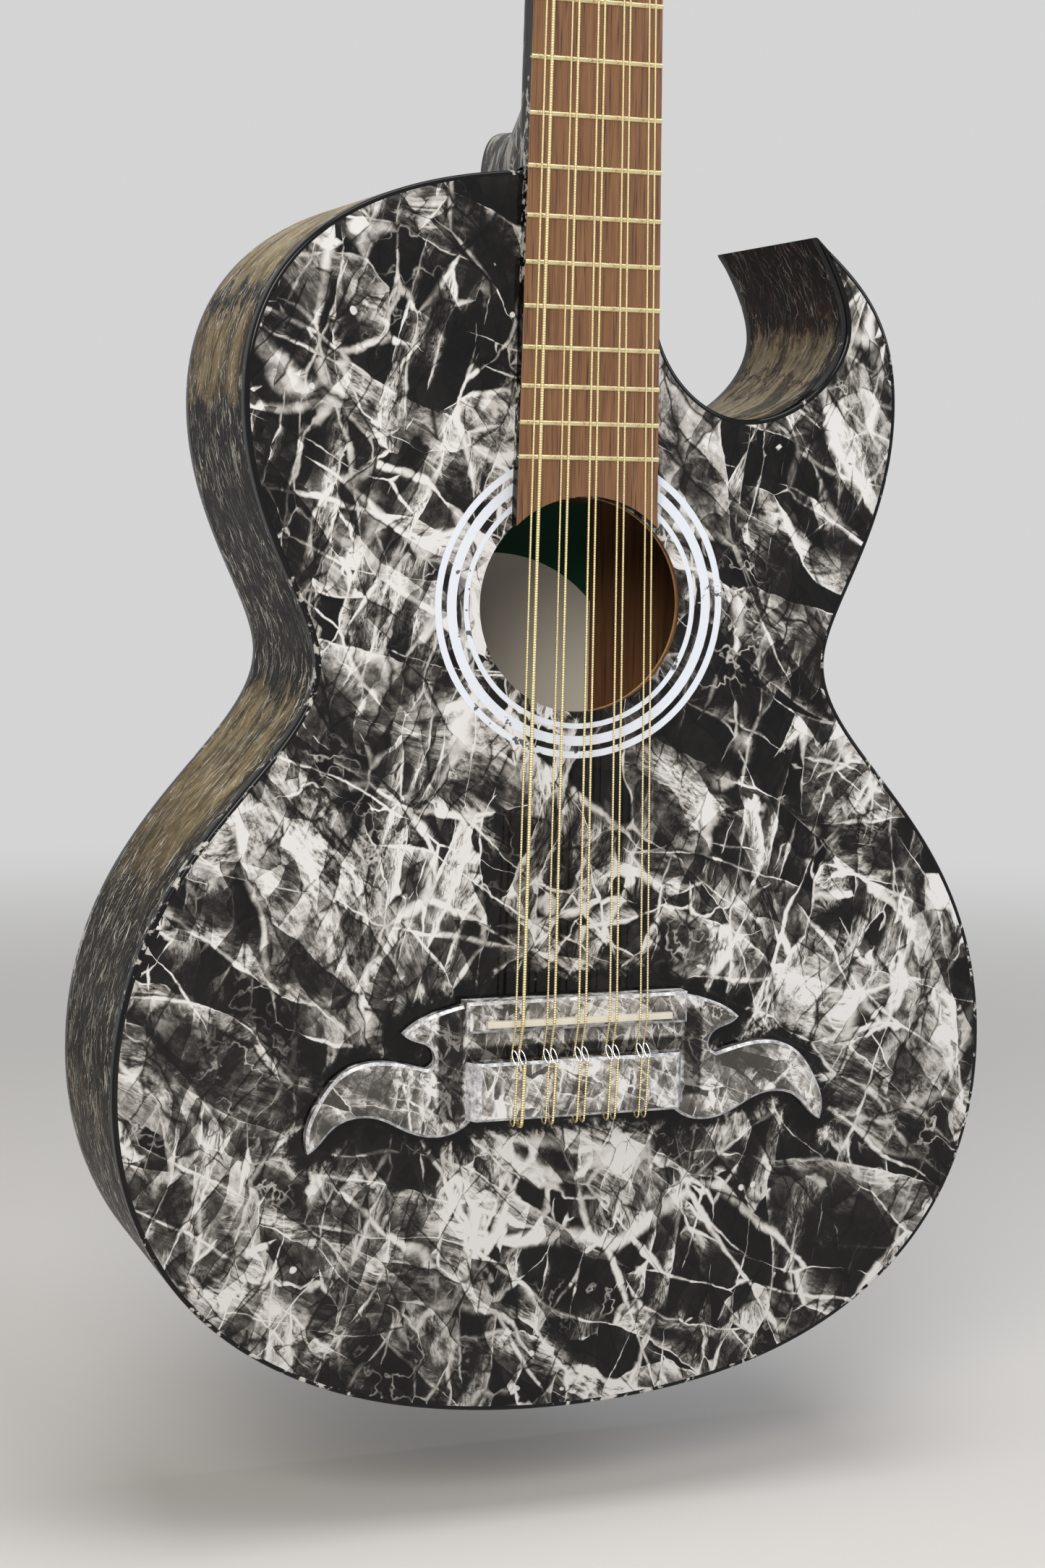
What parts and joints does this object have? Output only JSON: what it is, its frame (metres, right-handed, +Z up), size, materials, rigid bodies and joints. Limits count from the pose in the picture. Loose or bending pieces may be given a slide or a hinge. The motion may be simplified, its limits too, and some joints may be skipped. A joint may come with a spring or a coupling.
{
  "type": "bajo quinto guitar",
  "caption": "Acoustic bass-register guitar with a sharp cutaway, moustache-shaped tie bridge, double courses of strings and worm-geared tuning machines that turn.",
  "frame": {"origin": "centre of the neck's back where a cradle or hanger holds it, just below the nut", "axes": "+Z up along the neck towards the headstock, +X to the right as the soundboard is faced, +Y out of the back of the sound box"},
  "size_m": [0.414, 0.1216, 1.1308],
  "materials": {
    "lacquered_top": "high gloss black lacquer with pale marbling",
    "lacquered_back": "high gloss black lacquer with pale marbling",
    "lacquered_side": "high gloss lacquer, mottled olive and cream on black",
    "black_binding": "gloss",
    "cedar": "bare",
    "spruce": "bare",
    "maple": "bare",
    "paper": "matte, blank",
    "white_plastic": "gloss",
    "lacquered_bridge": "high gloss black lacquer with pale marbling",
    "bone": "polished",
    "lacquered_neck": "high gloss black lacquer",
    "fretboard_wood": "satin, fine grain",
    "fret_brass": "polished",
    "nickel": "polished nickel plate",
    "black_plastic": "gloss",
    "bronze_string": "wound bronze"
  },
  "bodies": {
    "guitar": {"soundboard": "lacquered_top", "back_plate": "lacquered_back", "bass_side": "lacquered_side", "treble_side": "lacquered_side", "cutaway_side": "lacquered_side", "front_binding": "black_binding", "back_binding": "black_binding", "neck_block": "cedar", "tail_block": "cedar", "soundboard_lining": "cedar", "back_lining": "cedar", "soundboard_bars": "spruce", "back_braces": "spruce", "soundhole_patch": "spruce", "bridge_plate": "maple", "sound_label": "paper", "rosette_rings": "white_plastic", "bridge": "lacquered_bridge", "saddle": "bone", "neck": "lacquered_neck", "neck_bar": "maple", "heel_cap": "black_binding", "fretboard": "fretboard_wood", "frets": "fret_brass", "nut": "bone", "headstock": "lacquered_neck", "headstock_veneer": "lacquered_top", "post_bushings": "nickel", "machine_plate_bass": "nickel", "machine_plate_treble": "nickel", "plate_screws": "nickel", "end_pin": "black_plastic", "string_course_1": "bronze_string", "string_course_2": "bronze_string", "string_course_3": "bronze_string", "string_course_4": "bronze_string", "string_course_5": "bronze_string"},
    "post_1": {"tuner_post_1": "nickel"},
    "key_1": {"tuner_key_1": "nickel"},
    "post_2": {"tuner_post_2": "nickel"},
    "key_2": {"tuner_key_2": "nickel"},
    "post_3": {"tuner_post_3": "nickel"},
    "key_3": {"tuner_key_3": "nickel"},
    "post_4": {"tuner_post_4": "nickel"},
    "key_4": {"tuner_key_4": "nickel"},
    "post_5": {"tuner_post_5": "nickel"},
    "key_5": {"tuner_key_5": "nickel"},
    "post_6": {"tuner_post_6": "nickel"},
    "key_6": {"tuner_key_6": "nickel"},
    "post_7": {"tuner_post_7": "nickel"},
    "key_7": {"tuner_key_7": "nickel"},
    "post_8": {"tuner_post_8": "nickel"},
    "key_8": {"tuner_key_8": "nickel"},
    "post_9": {"tuner_post_9": "nickel"},
    "key_9": {"tuner_key_9": "nickel"},
    "post_10": {"tuner_post_10": "nickel"},
    "key_10": {"tuner_key_10": "nickel"}
  },
  "joints": [
    {"name": "key_1_turn", "type": "hinge", "parent": "guitar", "child": "key_1", "pos_m": [-0.05, 0.01246, 0.06569], "axis": [1, 0, 0], "continuous": true},
    {"name": "post_1_turn", "type": "hinge", "parent": "guitar", "child": "post_1", "pos_m": [-0.024, -0.00577, 0.06105], "axis": [0, 0.9659, -0.2588], "continuous": true},
    {"name": "key_2_turn", "type": "hinge", "parent": "guitar", "child": "key_2", "pos_m": [-0.05, 0.021, 0.09756], "axis": [1, 0, 0], "continuous": true},
    {"name": "post_2_turn", "type": "hinge", "parent": "guitar", "child": "post_2", "pos_m": [-0.024, 0.00278, 0.09292], "axis": [0, 0.9659, -0.2588], "continuous": true},
    {"name": "key_3_turn", "type": "hinge", "parent": "guitar", "child": "key_3", "pos_m": [-0.05, 0.02954, 0.12944], "axis": [1, 0, 0], "continuous": true},
    {"name": "post_3_turn", "type": "hinge", "parent": "guitar", "child": "post_3", "pos_m": [-0.024, 0.01132, 0.1248], "axis": [0, 0.9659, -0.2588], "continuous": true},
    {"name": "key_4_turn", "type": "hinge", "parent": "guitar", "child": "key_4", "pos_m": [-0.05, 0.03808, 0.16132], "axis": [1, 0, 0], "continuous": true},
    {"name": "post_4_turn", "type": "hinge", "parent": "guitar", "child": "post_4", "pos_m": [-0.024, 0.01986, 0.15667], "axis": [0, 0.9659, -0.2588], "continuous": true},
    {"name": "key_5_turn", "type": "hinge", "parent": "guitar", "child": "key_5", "pos_m": [-0.05, 0.04662, 0.19319], "axis": [1, 0, 0], "continuous": true},
    {"name": "post_5_turn", "type": "hinge", "parent": "guitar", "child": "post_5", "pos_m": [-0.024, 0.0284, 0.18855], "axis": [0, 0.9659, -0.2588], "continuous": true},
    {"name": "key_6_turn", "type": "hinge", "parent": "guitar", "child": "key_6", "pos_m": [0.05, 0.01246, 0.06569], "axis": [1, 0, 0], "continuous": true},
    {"name": "post_6_turn", "type": "hinge", "parent": "guitar", "child": "post_6", "pos_m": [0.024, -0.00577, 0.06105], "axis": [0, 0.9659, -0.2588], "continuous": true},
    {"name": "key_7_turn", "type": "hinge", "parent": "guitar", "child": "key_7", "pos_m": [0.05, 0.021, 0.09756], "axis": [1, 0, 0], "continuous": true},
    {"name": "post_7_turn", "type": "hinge", "parent": "guitar", "child": "post_7", "pos_m": [0.024, 0.00278, 0.09292], "axis": [0, 0.9659, -0.2588], "continuous": true},
    {"name": "key_8_turn", "type": "hinge", "parent": "guitar", "child": "key_8", "pos_m": [0.05, 0.02954, 0.12944], "axis": [1, 0, 0], "continuous": true},
    {"name": "post_8_turn", "type": "hinge", "parent": "guitar", "child": "post_8", "pos_m": [0.024, 0.01132, 0.1248], "axis": [0, 0.9659, -0.2588], "continuous": true},
    {"name": "key_9_turn", "type": "hinge", "parent": "guitar", "child": "key_9", "pos_m": [0.05, 0.03808, 0.16132], "axis": [1, 0, 0], "continuous": true},
    {"name": "post_9_turn", "type": "hinge", "parent": "guitar", "child": "post_9", "pos_m": [0.024, 0.01986, 0.15667], "axis": [0, 0.9659, -0.2588], "continuous": true},
    {"name": "key_10_turn", "type": "hinge", "parent": "guitar", "child": "key_10", "pos_m": [0.05, 0.04662, 0.19319], "axis": [1, 0, 0], "continuous": true},
    {"name": "post_10_turn", "type": "hinge", "parent": "guitar", "child": "post_10", "pos_m": [0.024, 0.0284, 0.18855], "axis": [0, 0.9659, -0.2588], "continuous": true}
  ],
  "couplings": [
    {"joint": "post_1_turn", "follows": "key_1_turn", "ratio": 0.071429},
    {"joint": "post_2_turn", "follows": "key_2_turn", "ratio": 0.071429},
    {"joint": "post_3_turn", "follows": "key_3_turn", "ratio": 0.071429},
    {"joint": "post_4_turn", "follows": "key_4_turn", "ratio": 0.071429},
    {"joint": "post_5_turn", "follows": "key_5_turn", "ratio": 0.071429},
    {"joint": "post_6_turn", "follows": "key_6_turn", "ratio": -0.071429},
    {"joint": "post_7_turn", "follows": "key_7_turn", "ratio": -0.071429},
    {"joint": "post_8_turn", "follows": "key_8_turn", "ratio": -0.071429},
    {"joint": "post_9_turn", "follows": "key_9_turn", "ratio": -0.071429},
    {"joint": "post_10_turn", "follows": "key_10_turn", "ratio": -0.071429}
  ]
}
